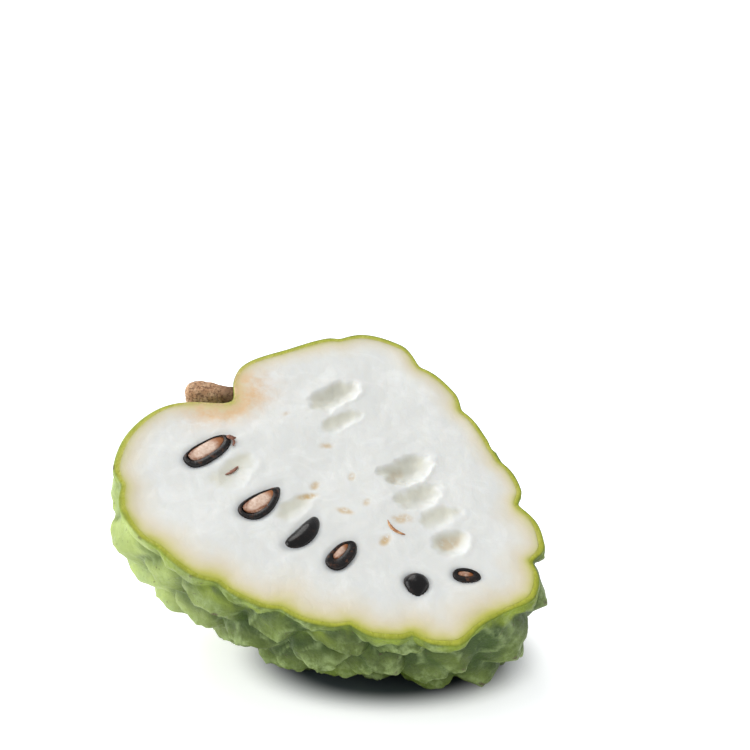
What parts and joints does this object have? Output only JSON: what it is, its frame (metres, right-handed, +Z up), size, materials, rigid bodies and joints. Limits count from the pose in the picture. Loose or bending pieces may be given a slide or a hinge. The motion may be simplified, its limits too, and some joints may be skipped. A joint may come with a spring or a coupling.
{
  "type": "sugar apple half",
  "caption": "Sugar apple cut lengthwise: half a knobbly green fruit with white flesh, dark seeds, empty seed sockets and its stem, lying on its skin with the cut face up.",
  "frame": {"origin": "middle of the bounding box at its base, on the surface that the fruit lies on", "axes": "+Z up from the surface, -Y towards the side that the cut face leans to, so the viewer's side, and +X towards the fruit's tip"},
  "size_m": [0.1024, 0.0928, 0.0661],
  "materials": {
    "skin": "knobbly green rind with a dull waxy sheen",
    "flesh": "moist creamy white pulp, tinted tan next to the rind",
    "seed_coat": "glossy black brown",
    "kernel": "dull tan, orange brown at the narrow end",
    "stem": "dry corky brown"
  },
  "bodies": {
    "root": {"skin": "skin", "flesh": "flesh", "stem": "stem", "seed_1": "seed_coat", "seed_2": "seed_coat", "seed_3": "seed_coat", "seed_4": "seed_coat", "seed_5": "seed_coat", "seed_6": "seed_coat", "kernel_1": "kernel", "kernel_2": "kernel", "kernel_4": "kernel", "kernel_6": "kernel"}
  },
  "joints": []
}
